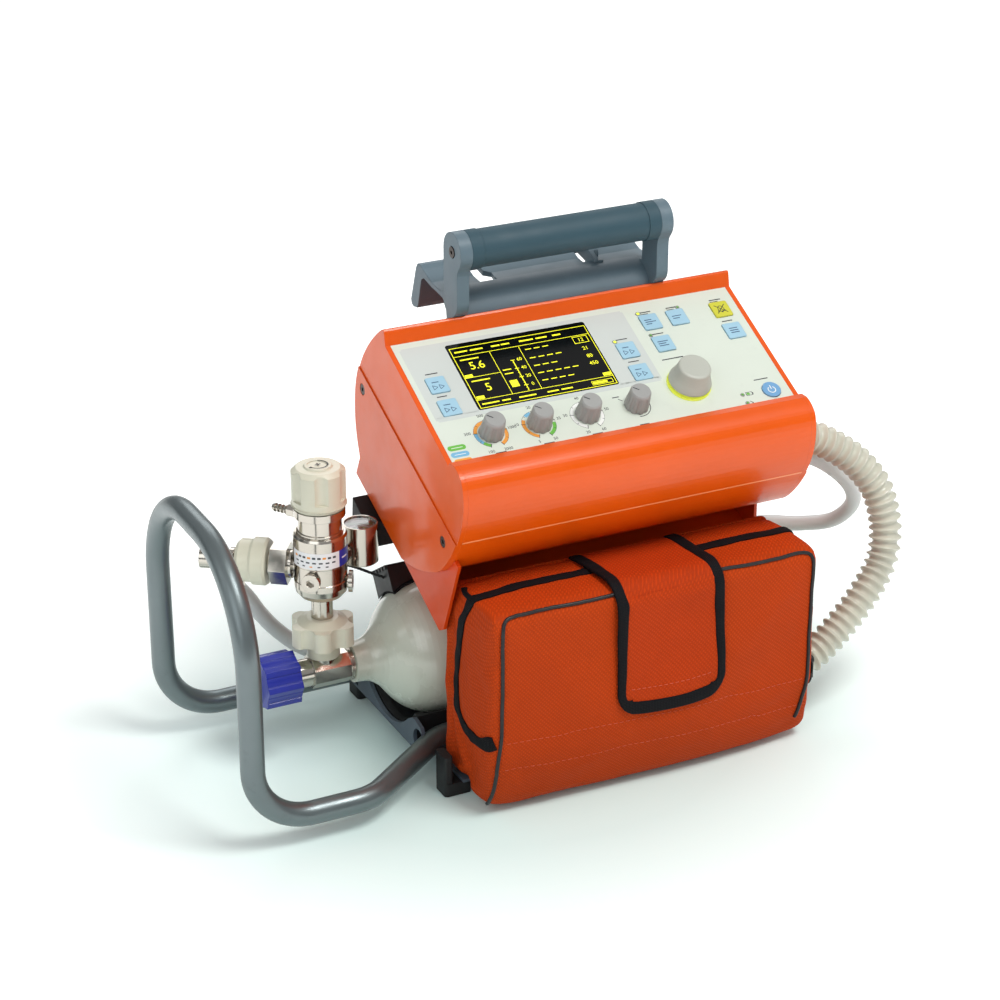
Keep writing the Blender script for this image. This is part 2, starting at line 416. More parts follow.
def build_bag():
    bm = bmesh.new(); loop = smooth_loop(bag_outline(), 7.0); n = len(loop)
    cy, cz = -121.0, 92.0
    # stations along X: the ends round over into the side gussets
    st = [(-140.5, 0.90), (-139.5, 0.945), (-136.5, 0.985), (-131.5, 1.0)] + [(-131.5 + 263.0 * i / 36, 1.0) for i in range(1, 36)] + [(131.5, 1.0), (136.5, 0.985), (139.5, 0.945), (140.5, 0.90)]
    rows = []
    for x, k in st:
        row = []
        for q in loop:
            sag = 1.2 * math.sin(x * 0.045) * math.sin(q[1] * 0.03)
            y = cy + (q[0] - cy) * k; z = cz + (q[1] - cz) * (k if q[1] > cz else 0.5 + 0.5 * k)
            if q[0] < -150: y -= 1.6 * math.cos(x / 138 * math.pi / 2) + sag
            xx = x
            if abs(x) > 138: xx = x - math.copysign(2.0, x) * (1 if q[1] > 130 else 0)
            row.append(bm.verts.new(M(xx, y, z)))
        rows.append(row)
    for a, b in zip(rows, rows[1:]):
        for j in range(n): bm.faces.new([a[j], a[(j + 1) % n], b[(j + 1) % n], b[j]])
    for row, sgn in ((rows[0], -1), (rows[-1], 1)):
        # the gusset: rings towards its middle, slightly bulged
        prev = row
        for s in (0.82, 0.64, 0.46, 0.28, 0.12):
            new = []
            for v in row:
                c = M(140 * sgn, cy, cz); d = v.co - c; p = c + Vector((d.x, d.y * s, d.z * s)); p.x = (M(sgn * (140.5 + 3.2 * (1 - s)), 0, 0)).x if True else p.x
                new.append(bm.verts.new(p))
            for j in range(n): bm.faces.new([prev[j], prev[(j + 1) % n], new[(j + 1) % n], new[j]])
            prev = new
        bm.faces.new(prev)
    bmesh.ops.recalc_face_normals(bm, faces=bm.faces)
    me = bpy.data.meshes.new("bag"); bm.to_mesh(me); bm.free()
    o = bpy.data.objects.new("bag", me); col0.objects.link(o)
    md = o.modifiers.new("remesh", "REMESH"); md.mode = "VOXEL"; md.voxel_size = 0.0046
    dg = bpy.context.evaluated_depsgraph_get(); bpy.context.view_layer.update()
    me2 = bpy.data.meshes.new_from_object(o.evaluated_get(dg)); o.modifiers.clear(); o.data = me2; me2.name = "bag_mesh"
    rest = [v.co.copy() for v in me2.vertices]
    # the weight of the stored hose and masks sags the cloth before it is sewn tight
    g = o.vertex_groups.new(name="held"); wt = {}
    for v in me2.vertices:
        x, y, z = v.co.x * 1000 - OX, v.co.y * 1000 - OY, v.co.z * 1000
        hold = 1.0 if (y > -84 and z > 20) else 0.0
        if y > -112 and z < 17.5: hold = 1.0
        if hold: g.add([v.index], hold, "REPLACE")
    cl = o.modifiers.new("cloth", "CLOTH"); s = cl.settings
    s.quality = 5; s.mass = 0.25; s.tension_stiffness = 18; s.compression_stiffness = 12; s.shear_stiffness = 4; s.bending_stiffness = 0.6
    s.use_pressure = True; s.uniform_pressure_force = 3.2; s.effector_weights.gravity = 0.12; s.vertex_group_mass = "held"; s.pin_stiffness = 1.0
    s.shrink_min = -0.035; s.air_damping = 2.0
    cl.point_cache.frame_start = 1; cl.point_cache.frame_end = 24
    sc = bpy.context.scene
    for f in range(1, 23): sc.frame_set(f)
    dg = bpy.context.evaluated_depsgraph_get()
    ev = o.evaluated_get(dg).to_mesh(); pts = [v.co.copy() for v in ev.vertices]
    o.evaluated_get(dg).to_mesh_clear()
    o.modifiers.clear(); sc.frame_set(1)
    for v, r, p in zip(me2.vertices, rest, pts):
        d = p - r; L = d.length; cap = 0.0065
        if L > cap: d = d * (cap / L)
        x, y, z = r.x * 1000 - OX, r.y * 1000 - OY, r.z * 1000
        # slow folds that run up from the corners, and dents over the stored things
        f = noise.noise(Vector((x * 0.018, y * 0.02, z * 0.022))) * 1.5 + noise.noise(Vector((x * 0.05 + z * 0.03, y * 0.05, z * 0.05 - x * 0.02))) * 0.55
        nrm = v.normal
        v.co = r + d + nrm * (f / 1000 if y < -84 else 0)
    for v in me2.vertices:
        # clear of the web behind, the pan below and the casing's cheeks beside its top
        y, z, x = v.co.y * 1000 - OY, v.co.z * 1000, v.co.x * 1000 - OX
        if y > -79.3: v.co.y = (-79.3 + OY) / 1000
        if y > -114 and z < 14.2: v.co.z = 0.0142
        if y < -114 and z < 4.0: v.co.z = 0.004
        if z > 110 and y > -116 and abs(x) > 137.6: v.co.x = (math.copysign(137.6, x) + OX) / 1000
    me2.update()
    sd = o.modifiers.new("sub", "SUBSURF"); sd.levels = 1; sd.render_levels = 1
    bpy.context.view_layer.update(); dg = bpy.context.evaluated_depsgraph_get()
    me3 = bpy.data.meshes.new_from_object(o.evaluated_get(dg)); o.modifiers.clear(); o.vertex_groups.clear(); o.data = me3; me3.name = "bag_shell"
    me3.materials.clear(); me3.materials.append(mats["bag"])
    me3.polygons.foreach_set("use_smooth", [True] * len(me3.polygons)); me3.update()
    return o
bag = build_bag()
bvh = BVHTree.FromPolygons([v.co.copy() for v in bag.data.vertices], [tuple(p.vertices) for p in bag.data.polygons])
def on_bag(p):
    q, nrm, _, _ = bvh.find_nearest(p); return q, nrm
def ray_bag(o, d):
    q, nrm, _, _ = bvh.ray_cast(o, d); return (q, nrm) if q is not None else on_bag(o)
def route(pts, step=3.0, passes=2):
    """A line of rough points laid down on the bag's surface."""
    P = resample([M(*p) for p in pts], step / 1000)
    for _ in range(passes):
        P = [on_bag(p)[0] for p in P]
        P = [P[0]] + [(P[i - 1] + P[i] * 2 + P[i + 1]) / 4 for i in range(1, len(P) - 1)] + [P[-1]]
        P = resample(P, step / 1000)
    return [on_bag(p) for p in P]
def soft_corner(pts, r=8.0, k=5):
    """Rounds the corners of a rough line."""
    V = [Vector(p) for p in pts]; out = [V[0]]
    for a, b, c in zip(V, V[1:], V[2:]):
        ra, rc = min(r, (b - a).length / 2), min(r, (c - b).length / 2)
        p, q = b + (a - b).normalized() * ra, b + (c - b).normalized() * rc
        out += [p.lerp(b, t / k).lerp(b.lerp(q, t / k), t / k) for t in range(k + 1)]
    return [tuple(v) for v in out + [V[-1]]]
def piping(bm, pts, r=1.45, rise=0.9, k=10, mi=0):
    R = route(soft_corner(pts)); tube(bm, [q + n * rise / 1000 for q, n in R], r / 1000, k, mi)
def ribbon(bm, pts, w, t=1.1, wav=0.0, seed=0.0, mi=0, lay=0.25, cols=6, end_taper=False, surface=None):
    R = surface or route(soft_corner(pts)); rows = []
    for i, (q, n) in enumerate(R):
        a, b = R[max(i - 1, 0)][0], R[min(i + 1, len(R) - 1)][0]
        d = (b - a).normalized(); s = n.cross(d).normalized()
        ww = w / 2 * (1 + wav * noise.noise(Vector((i * 0.19, seed, 0.0)))) ; off = wav * 1.6 * noise.noise(Vector((i * 0.11, seed + 7, 0.0)))
        up = []; lo = []
        for j in range(cols + 1):
            x = (j / cols * 2 - 1) * ww + off; p = q + s * x / 1000; c, m = on_bag(p) if surface is None else (p, n)
            if m.dot(n) < 0.2: m = n
            m = (m + n).normalized()
            hump = t * (1 - 0.35 * abs(j / cols * 2 - 1) ** 3) + lay
            up.append(bm.verts.new(c + m * hump / 1000)); lo.append(bm.verts.new(c + m * (lay - 0.15) / 1000))
        rows.append((up, lo))
    for (u0, l0), (u1, l1) in zip(rows, rows[1:]):
        for j in range(cols):
            bm.faces.new([u0[j], u0[j + 1], u1[j + 1], u1[j]]).material_index = mi
            bm.faces.new([l0[j], l1[j], l1[j + 1], l0[j + 1]]).material_index = mi
        bm.faces.new([u0[0], u1[0], l1[0], l0[0]]).material_index = mi; bm.faces.new([u0[cols], l0[cols], l1[cols], u1[cols]]).material_index = mi
    for (u, l) in (rows[0], rows[-1]):
        bm.faces.new(list(u) + list(l)[::-1]).material_index = mi
def stitches(bm, pts, length=2.6, gap=1.7, r=0.32, rise=0.2, mi=0, surface=None):
    P = surface or route(pts, 1.0, 1); i = 0; a, b = int(length), int(round(gap))
    a = max(a, 2)
    while i + a < len(P):
        seg = P[i:i + a + 1]; path = []
        for k, (q, n) in enumerate(seg):
            path.append(q + n * (rise + 0.25 * math.sin(math.pi * k / a)) / 1000)
        tube(bm, path, r / 1000, 6, mi); i += a + max(b, 1)

bm = bmesh.new()
# piping round the front face
piping(bm, [(-133, -141, 5), (-133, -152, 20), (-133, -164, 50), (-131, -167, 70), (-130, -167, 120), (-129, -165, 168), (-120, -163, 176), (0, -163, 176), (120, -163, 176), (131, -163, 172), (133, -164, 120), (133, -166, 60), (131, -163, 40), (126, -154, 22)])
pipe = finish_mesh("bag_piping", bm, "piping", BODY["bag_body"], 60)
bm = bmesh.new()
# the wide bound zip tape: along the top, round the left gusset and down to the front edge
ribbon(bm, [(3, -117, 180), (-60, -116, 180), (-118, -119, 180), (-134, -119, 172), (-146, -112, 150), (-146, -104, 124), (-146, -97, 96), (-146, -98, 70), (-146, -112, 57), (-144, -140, 60), (-138, -160, 66)], 9.0, 1.3, 0.50, 1.0)
ribbon(bm, [(3, -117, 180), (60, -118, 180), (118, -121, 180), (136, -119, 168), (146, -110, 140), (146, -104, 110), (146, -101, 78), (146, -112, 62), (144, -140, 60), (139, -157, 64)], 9.0, 1.3, 0.16, 3.0)
ribbon(bm, [(-132, -98, 178), (-141, -108, 166), (-137, -117, 172)], 4.6, 1.0, 0.15, 5.0)
band = finish_mesh("bag_binding", bm, "tape", BODY["bag_body"], 50)
bm = bmesh.new()
for z0, z1 in ((64, 57), (38, 30)):
    stitches(bm, [(-127, -175, z0), (-24, -175, z0 - 1), (60, -175, z0 - 2.5), (131, -175, z1)], 3.0, 2.0, 0.22, 0.02)
seam = finish_mesh("bag_seams", bm, "thread", BODY["bag_body"], 60)
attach(bag, BODY["bag_body"]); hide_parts("bag_body")

# ---- the flap: one sheet, over the top and down the front -------------------------
FX = 7.0; FH = 44.5
def flap_half(s):
    """half width at share s of its length"""
    return 45.5
def flap_line(x):
    """the flap's line at x, from its rear seam, over the front edge and down, on the bag's surface"""
    pts = []
    for y in range(-89, -158, -3):
        q, n = ray_bag(M(x, y, 260), Vector((0, 0, -1))); pts.append((q, n))
    for z in range(172, 60, -3):
        q, n = ray_bag(M(x, -260, z), Vector((0, 1, 0))); pts.append((q, n))
    return pts
def build_flap():
    cols = 18; lines = []
    for j in range(cols + 1):
        x = FX - FH + 2 * FH * j / cols; L = flap_line(x)
        P = [q for q, n in L]
        for _ in range(3): P = [P[0]] + [(P[i - 1] + 2 * P[i] + P[i + 1]) / 4 for i in range(1, len(P) - 1)] + [P[-1]]
        # the end is a shallow tongue, longest in the middle
        edge = abs(x - FX) / FH
        zend = 67.8 + 4.5 * edge ** 2 + 11.0 * (max(0.0, edge - 0.76) / 0.24) ** 2
        keep = [p for p in P if p.z * 1000 > zend or p.y * 1000 - OY > -150]
        last = keep[-1]; keep.append(Vector((last.x, last.y, zend / 1000)))
        lines.append(resample(keep, sum((b - a).length for a, b in zip(keep, keep[1:])) / 56))
    n = min(len(l) for l in lines)
    bm = bmesh.new(); top = []; low = []
    for j, L in enumerate(lines):
        tr = []; lr = []
        for i in range(n):
            q, nn = on_bag(L[i]); s = i / (n - 1)
            lift = 1.5 + 1.6 * math.sin(math.pi * min(1, s * 1.1)) + (1.1 * noise.noise(Vector((j * 0.21, i * 0.11, 4.0))) if s > 0.45 else 0)
            lift = max(1.0, lift) + 1.6 * math.exp(-((s - 0.42) / 0.10) ** 2)
            p = L[i] + nn * lift / 1000
            tr.append(bm.verts.new(p + nn * 0.0006)); lr.append(bm.verts.new(p - nn * 0.0006))
        top.append(tr); low.append(lr)
    for a, b in zip(range(cols), range(1, cols + 1)):
        for i in range(n - 1):
            bm.faces.new([top[a][i], top[b][i], top[b][i + 1], top[a][i + 1]]); bm.faces.new([low[a][i], low[a][i + 1], low[b][i + 1], low[b][i]])
    for i in range(n - 1):
        bm.faces.new([top[0][i], top[0][i + 1], low[0][i + 1], low[0][i]]); bm.faces.new([top[cols][i], low[cols][i], low[cols][i + 1], top[cols][i + 1]])
    for j in range(cols):
        bm.faces.new([top[j][0], low[j][0], low[j + 1][0], top[j + 1][0]]); bm.faces.new([top[j][n - 1], top[j + 1][n - 1], low[j + 1][n - 1], low[j][n - 1]])
    grid = [[v.co.copy() for v in r] for r in top]
    o = finish_mesh("flap", bm, "bag_flap", None, 60)
    return o, grid
flap, FG = build_flap()
def flap_normal(j, i):
    a = FG[min(j + 1, len(FG) - 1)][i] - FG[max(j - 1, 0)][i]; b = FG[j][min(i + 1, len(FG[j]) - 1)] - FG[j][max(i - 1, 0)]
    n = b.cross(a).normalized()
    return n if n.dot(Vector((0, -0.6, 0.6))) > 0 else -n
def flap_at(a, b):
    """a: share across, b: share along"""
    J = a * (len(FG) - 1); I = b * (len(FG[0]) - 1); j, i = min(int(J), len(FG) - 2), min(int(I), len(FG[0]) - 2); fj, fi = J - j, I - i
    p = (FG[j][i] * (1 - fj) + FG[j + 1][i] * fj) * (1 - fi) + (FG[j][i + 1] * (1 - fj) + FG[j + 1][i + 1] * fj) * fi
    return p, flap_normal(round(J), round(I))
# its black binding folds over the cut edge: down one side, round the tongue and up the other
edge = [(0.0, t / 72) for t in range(0, 72)] + [(t / 32, 1.0) for t in range(0, 33)] + [(1.0, 1 - t / 72) for t in range(1, 73)]
def smoothed(V, k, unit=False):
    for _ in range(k): V = [V[0]] + [(V[i - 1] + V[i] * 2 + V[i + 1]) / 4 for i in range(1, len(V) - 1)] + [V[-1]]
    return [v.normalized() for v in V] if unit else V
EP = [flap_at(a, b) for a, b in edge]
en = smoothed([n for p, n in EP], 8, True); ep = smoothed([p for p, n in EP], 2)
ei = []
for (a, b), (p, n) in zip(edge, EP):
    q = flap_at(min(max(a, 0.10), 0.90), min(b, 0.95))[0] - p
    ei.append((q - n * q.dot(n)).normalized())
ei = smoothed(ei, 5, True)
bm = bmesh.new(); rows = []
for i, (p, n, d) in enumerate(zip(ep, en, ei)):
    # the tape lies 9 mm in from the edge and wraps 1 mm past it
    d = (d - n * d.dot(n)).normalized(); w = 9.0 * (1 + 0.05 * noise.noise(Vector((i * 0.13, 2.0, 0))))
    sec = [(-1.4, -0.3), (-1.1, 0.75), (0.2, 1.3), (w * 0.5, 1.3), (w - 1.0, 1.15), (w, 0.5), (w, -0.6), (w * 0.5, -1.5), (-0.8, -1.3)]
    rows.append([bm.verts.new(p + d * a / 1000 + n * (b - 0.1) / 1000) for a, b in sec])
for a, b in zip(rows, rows[1:]):
    for j in range(len(a)): bm.faces.new([a[j], a[(j + 1) % len(a)], b[(j + 1) % len(a)], b[j]])
bm.faces.new(rows[0]); bm.faces.new(rows[-1][::-1])
flap_tape = finish_mesh("flap_binding", bm, "tape", None, 55)
bm = bmesh.new()
stitches(bm, None, 3.0, 2.0, 0.30, 0.0, surface=[flap_at(0.12 + 0.76 * t / 74, 0.885) for t in range(75)])
flap_seam = finish_mesh("flap_stitching", bm, "thread", None, 60)
for o in (flap, flap_tape, flap_seam):
    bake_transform(o)
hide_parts("bag_flap")

# ====================================================================== hoses =====
supply = [(156,-52,194),(170,-52,194),(194,-53,189),(218,-52,173),(239,-46,151),(250,-32,128),(244,-14,108),(227,10,98),(203,40,90),(178,60,66),(150,68,44),(120,69,37.6),(60,69,37.6),(0,69,37.6),(-60,69,37.6),(-120,69,37.6),(-150,69.5,38.6),(-175,70,43),(-195,68.5,55),(-214,66,74),(-229,61,94),(-240,55,112),(-251,48,127),(-261.87,43.50,138)]
breath = [(160,-74,222),(185,-74,214.5),(212,-80,197),(229,-85,178),(237.5,-89,160),(241,-94,134),(234,-100,108),(211,-108,84),(181,-114,61),(158,-118,49),(138,-120,43)]
cordp = [(-184,9.4,150),(-172,26,139),(-160,33,131),(-148,31,124.5),(-139,26.6,120.6)]
def plen(p): return sum((b - a).length for a, b in zip(p, p[1:]))

ps = spline(supply, 0.003)
bm = bmesh.new(); tube(bm, ps, 0.0062, 28)
hose = finish_mesh("pressure_hose", bm, "hose_grey", "frame_body", 60)
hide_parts("supply_hose")
bm = bmesh.new()
fer = [(6.3, -1.0), (7.4, -0.8), (7.7, 0.2), (7.7, 3.0), (7.25, 3.5), (7.25, 4.6), (7.7, 5.1), (7.7, 8.6), (7.25, 9.1), (7.25, 10.2), (7.7, 10.7), (7.7, 13.6), (7.5, 14.4), (6.45, 14.6), (6.25, 14.0), (6.25, 0.0)]
lathe(bm, fer[:-2], along(ps[0], ps[3] - ps[0]), 36, cap0=False, cap1=False)
lathe(bm, fer[:-2], along(ps[-1], ps[-4] - ps[-1]), 36, cap0=False, cap1=False)
ferr = finish_mesh("hose_ferrules", bm, "nickel", "frame_body", 40, recalc=True)
md = ferr.modifiers.new("wall", "SOLIDIFY"); md.thickness = 0.0004; md.offset = -1

pb = spline(breath, 0.00066); Lb = plen(pb); pitch = 0.0079
def rib(i, s):
    d = s * Lb
    # plain cuffs at both ends, rounded pointed ribs between them
    cuff = min(1.0, max(0.0, (d - 0.012) / 0.003), max(0.0, (Lb - 0.010 - d) / 0.003))
    ph = (d - 0.012) / pitch; c = 0.5 + 0.5 * math.cos(2 * math.pi * ph)
    return (0.0128 * (1 - cuff) + cuff * (0.0098 + 0.0034 * c ** 1.7))
bm = bmesh.new(); tube(bm, pb, rib, 36)
bh = finish_mesh("corrugated_hose", bm, "hose_clear", "frame_body", 70)
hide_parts("breathing_hose")
bm = bmesh.new()
cuffp = [(12.9, -0.5), (14.0, 0.0), (14.3, 1.0), (14.3, 2.5), (13.7, 3.2), (13.7, 9.5), (14.1, 10.4), (14.1, 12.4), (13.4, 13.4), (12.2, 13.8)]
lathe(bm, cuffp, along(pb[0], pb[6] - pb[0]), 40, cap0=False, cap1=False)
cuff = finish_mesh("hose_cuff", bm, "hose_core", "frame_body", 40)
md = cuff.modifiers.new("wall", "SOLIDIFY"); md.thickness = 0.0006; md.offset = -1
# where it enters the bag: an elastic black collar
bm = bmesh.new()
lathe(bm, [(13.4, -6.0), (15.8, -5.6), (16.6, -4.2), (16.6, -2.4), (15.6, -1.0), (16.2, 0.4), (16.2, 1.8), (15.2, 3.0), (13.5, 3.4)], along(pb[-12], pb[-1] - pb[-14]), 40, cap0=False, cap1=False)
coll = finish_mesh("hose_collar", bm, "tape", "frame_body", 50)
md = coll.modifiers.new("wall", "SOLIDIFY"); md.thickness = 0.0006; md.offset = -1

pc = spline(cordp, 0.0008)
bm = bmesh.new()
F = frames(pc)
for ph in range(3):
    hel = [p + (u * math.cos(i * 0.55 + ph * 2.0944) + w * math.sin(i * 0.55 + ph * 2.0944)) * 0.00052 for i, (p, (t, u, w)) in enumerate(zip(pc, F))]
    tube(bm, hel, 0.00068, 8)
rc = finish_mesh("tether", bm, "piping", "frame_body", 60)
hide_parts("retaining_cord")

# ---- the cylinder's webbing strap ---------------------------------------------------
cp = [(-180, 15.6), (-172, 16.2), (-166, 18), (-158, 24), (-150, 34.5), (-141, 43.5), (-130, 49.5), (-118, 52.3), (-106, 53.0)]
def cylr(x):
    for (a, ra), (b, rb) in zip(cp, cp[1:]):
        if a <= x <= b: return ra + (rb - ra) * (x - a) / (b - a)
    return 53.0
bm = bmesh.new(); K = 84; X = [-138 + 25 * i / 12 for i in range(13)]
sec = [(x, 0.06) for x in X] + [(x, 1.80 + (0.22 if i in (1, 2, 10, 11) else 0.0) - (0.5 if i in (0, 12) else 0)) for i, x in reversed(list(enumerate(X)))]
rows = []
for k in range(K + 1):
    a = math.radians(-78.5 + 157 * k / K)
    rows.append([bm.verts.new(M(x, (cylr(x) + 0.4 + h + 0.10 * math.sin(a * 40) * (h > 1)) * math.cos(a), 68.7 + (cylr(x) + 0.4 + h) * math.sin(a))) for x, h in sec])
for a, b in zip(rows, rows[1:]):
    for j in range(len(a)): bm.faces.new([a[j], a[(j + 1) % len(a)], b[(j + 1) % len(a)], b[j]])
bm.faces.new(rows[0]); bm.faces.new(rows[-1][::-1])
strap = finish_mesh("webbing_strap", bm, "strap", "frame_body", 45)
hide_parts("cylinder_strap")

# ============================================================ printed surfaces ====
H0, H1 = -0.02, 0.06
KEYS = {"key_hold_upper": (-123, 45.3), "key_hold_lower": (-123, 67.9), "key_value_upper": (34.4, 45.3), "key_value_lower": (34.4, 68.3),
        "key_mode_1": (65.3, 21.9), "key_mode_2": (88.8, 21.9), "key_mode_3": (65.3, 45.1), "key_alarm": (127, 21.9), "key_menu": (127, 45)}
KNOBS = {"knob_1": (-102.9, 98.2), "knob_2": (-64.2, 98.2), "knob_3": (-24.7, 98.2), "knob_4": (16.1, 98.2)}
W0, W1 = (-102.3, 42.3 - 65.7 / 2), (13.3, 42.3 + 65.7 / 2)
bm = bmesh.new()
# the grey field round the display, laid as a frame and cross pieces so that it is open at the window and keys
u0, u1, v0, v1 = -137.7, 48.0, 5.5, 79.5
def field(a, b, c, d): prism(bm, [(a, b), (c, b), (c, d), (a, d)], pan, H0, H1 - 0.02, 0)
kw, kh = 7.75, 7.95
field(u0 + 1.5, v0, u1 - 1.5, W0[1] - 0.1); field(u0 + 1.5, W1[1] + 0.1, u1 - 1.5, v1)
field(u0, v0 + 1.5, u0 + 1.5, v1 - 1.5); field(u1 - 1.5, v0 + 1.5, u1, v1 - 1.5)
for a, b, ku, ks in ((u0 + 1.5, W0[0] - 0.1, -123, (45.3, 67.9)), (W1[0] + 0.1, u1 - 1.5, 34.4, (45.3, 68.3))):
    field(a, W0[1] - 0.1, b, ks[0] - kh)
    for i, kv in enumerate(ks):
        field(a, kv - kh, ku - kw, kv + kh); field(ku + kw, kv - kh, b, kv + kh)
        nxt = ks[1] - kh if i == 0 else W1[1] + 0.1
        if nxt > kv + kh: field(a, kv + kh, b, nxt)
# dark outlines and small marks, 1 = dark, 2 = green, 3 = blue, 4 = orange, 5 = white, 6 = icon blue
for (mi, v) in ((2, 105.0), (3, 111.4), (4, 117.8)):
    prism(bm, rr(-140.2, v - 2.4, -126.0, v + 2.4, 2.3), pan, H0, H1, mi)
    line(bm, (-137.5, v), (-128.6, v), 0.5, pan, H1, H1 + 0.02, 5)
def scale(u, v, bands, ticks, labels, dash=18.6, minor=()):
    for a0, a1, mi in bands: arc(bm, u, v, 10.3, 12.9, a0, a1, pan, H0, H1, mi)
    arc(bm, u, v, 12.9, 13.1, ticks[0], ticks[-1], pan, H0, H1, 1)
    for a in ticks: line(bm, clock(u, v, 10.2, a), clock(u, v, 13.6, a), 0.45, pan, H0, H1 + 0.02, 1)
    for a in minor: line(bm, clock(u, v, 11.4, a), clock(u, v, 13.0, a), 0.35, pan, H0, H1 + 0.02, 1)
    for a, t in zip(ticks, labels):
        p = clock(u, v, 17.0 if len(t) < 3 else 17.8, a); digits(bm, t, 2.5, p[0], p[1], pan, H0, H1, 1)
    line(bm, (u - 4.2, v + dash), (u + 4.2, v + dash), 0.8, pan, H0, H1, 1)
T5 = [202, 281, 356, 443, 517]
k = KNOBS["knob_1"]; scale(k[0], k[1], [(202, 230, 2), (230, 281, 3), (281, 517, 4)], T5, ["100", "300", "500", "1000", "2000"], minor=(241, 318, 400, 480))
k = KNOBS["knob_2"]; scale(k[0], k[1], [(202, 302, 4), (322, 350, 3), (452, 517, 2)], T5, ["5", "10", "20", "35", "50"], minor=(241, 318, 400, 480))
k = KNOBS["knob_3"]; scale(k[0], k[1], [(202, 517, 5)], T5, ["20", "30", "40", "50", "60"], minor=(239, 318, 400, 480))
k = KNOBS["knob_4"]
line(bm, clock(k[0], k[1], 10.6, 309), clock(k[0], k[1], 14.2, 309), 0.5, pan, H0, H1, 1)
line(bm, (1.2, 87.1), (6.8, 87.1), 0.8, pan, H0, H1, 1); line(bm, (10.4, 116.8), (18.2, 116.8), 0.8, pan, H0, H1, 1)
arc(bm, k[0], k[1], 10.6, 11.2, 40, 310 - 180 + 60, pan, H0, H1, 1)
# short strokes that stand where the real panel names its keys
for (a, b, c) in ((-128, 33.4, 10), (-128, 56.2, 8), (29.4, 33.4, 10), (29.4, 56.6, 9), (60.4, 11.0, 10), (84.0, 11.0, 9), (60.4, 34.2, 10), (122, 11.0, 10), (122, 34.0, 9), (56.5, 60.5, 18), (118, 96.0, 12)):
    line(bm, (a, b), (a + c, b), 0.9, pan, H0 + 0.01, H1, 1)
for a, b, c in ((60.4, 12.8, 7), (84.0, 12.8, 6), (122, 12.8, 7)): line(bm, (a, b), (a + c, b), 0.6, pan, H0, H1, 1)
# battery and mains icons
frame_loop(bm, 105.2, 105.9, 110.8, 109.3, 0.4, pan, H0, H1, 1); prism(bm, rr(110.8, 106.8, 111.4, 108.4), pan, H0, H1, 1)
prism(bm, rr(105.9, 106.6, 108.4, 108.6), pan, H0, H1, 2)
outline(bm, [(105.0, 114.6), (107.2, 116.6), (106.0, 116.9), (109.4, 118.6)], 0.5, pan, H0, H1, 1, closed=False)
prints = finish_mesh("panel_print", bm, ["print_grey", "print_dark", "print_green", "print_blue", "print_orange", "print_white", "print_icon"], "frame_body")

# the bright joint line that runs across the casing's chin
bm = bmesh.new(); cn = Vector((0, -0.863, -0.507)); ct = Vector((0, -0.507, 0.863)); rows = []
for i in range(41):
    x = -141.9 + 283.8 * i / 40; c = M(x, -121, 213)
    rows.append([bm.verts.new(c + (ct * a + cn * b) / 1000) for a, b in ((-0.75, -0.3), (-0.75, 0.10), (-0.3, 0.24), (0.3, 0.24), (0.75, 0.10), (0.75, -0.3))])
for a, b in zip(rows, rows[1:]):
    for j in range(6): bm.faces.new([a[j], a[(j + 1) % 6], b[(j + 1) % 6], b[j]])
bm.faces.new(rows[0]); bm.faces.new(rows[-1][::-1])
finish_mesh("chin_seam", bm, "seam", "frame_body", 50)

# small lamps in their bezels
def lampset(name, pts, mat, r=1.5):
    bm = bmesh.new(); bb = bmesh.new()
    for u, v in pts:
        pl = lambda x, y, h, u=u, v=v: pan(u + x, v - y, h)
        lathe(bm, [(r, 0.0), (r, 0.35), (r * 0.92, 0.6), (r * 0.7, 0.86), (r * 0.36, 1.02), (0.05, 1.06)], pl, 24)
        lathe(bb, [(r + 0.02, 0.0), (r + 0.02, 0.42), (r + 0.25, 0.55), (r + 0.7, 0.45), (r + 0.85, 0.0)], pl, 28, cap0=False, cap1=False)
    a = finish_mesh(name, bm, mat, "frame_body", 50)
    b = finish_mesh(name + "_bezel", bb, "knob_grey", "frame_body", 40)
    md = b.modifiers.new("wall", "SOLIDIFY"); md.thickness = 0.0002; md.offset = -1
lampset("lamps_lit", [(28.3, 39.4 - 4.4), (59.3, 16.9 - 5.2)], "led", 1.2)
lampset("lamps_small", [(102.2, 107.6), (102.2, 116.1), (93.6, 12.0), (59.3, 34.9)], "print_green", 0.9)

# ---- the picture on the display ----------------------------------------------------
bm = bmesh.new(); S0, S1 = 0.09, 0.16
def sp(fx, fy): return (W0[0] + fx * 115.6, W0[1] + fy * 65.7)
def sl(a, b, w=0.42): line(bm, sp(*a), sp(*b), w, pan, S0, S1, 0)
p, q = sp(0.016, 0.058), sp(0.99, 0.983); frame_loop(bm, p[0], p[1], q[0], q[1], 0.5, pan, S0, S1, 0)
sl((0.016, 0.19), (0.99, 0.19)); sl((0.016, 0.86), (0.99, 0.86)); sl((0.27, 0.20), (0.27, 0.86)); sl((0.477, 0.20), (0.477, 0.86)); sl((0.02, 0.52), (0.27, 0.52))
sl((0.39, 0.38), (0.39, 0.845), 0.7)
for i, t in enumerate(("60", "40", "20", "0")):
    fy = 0.38 + i * 0.1283; sl((0.375, fy), (0.405, fy), 0.5); p = sp(0.438, fy); digits(bm, t, 3.0, p[0], p[1], pan, S0, S1, 0)
for i in range(13): sl((0.382, 0.38 + i * 0.0385), (0.39, 0.38 + i * 0.0385), 0.3)
sl((0.29, 0.50), (0.35, 0.50), 0.9); sl((0.29, 0.56), (0.35, 0.56), 0.9)
p, q = sp(0.294, 0.665), sp(0.347, 0.765); prism(bm, rr(p[0], p[1], q[0], q[1]), pan, S0, S1, 0)
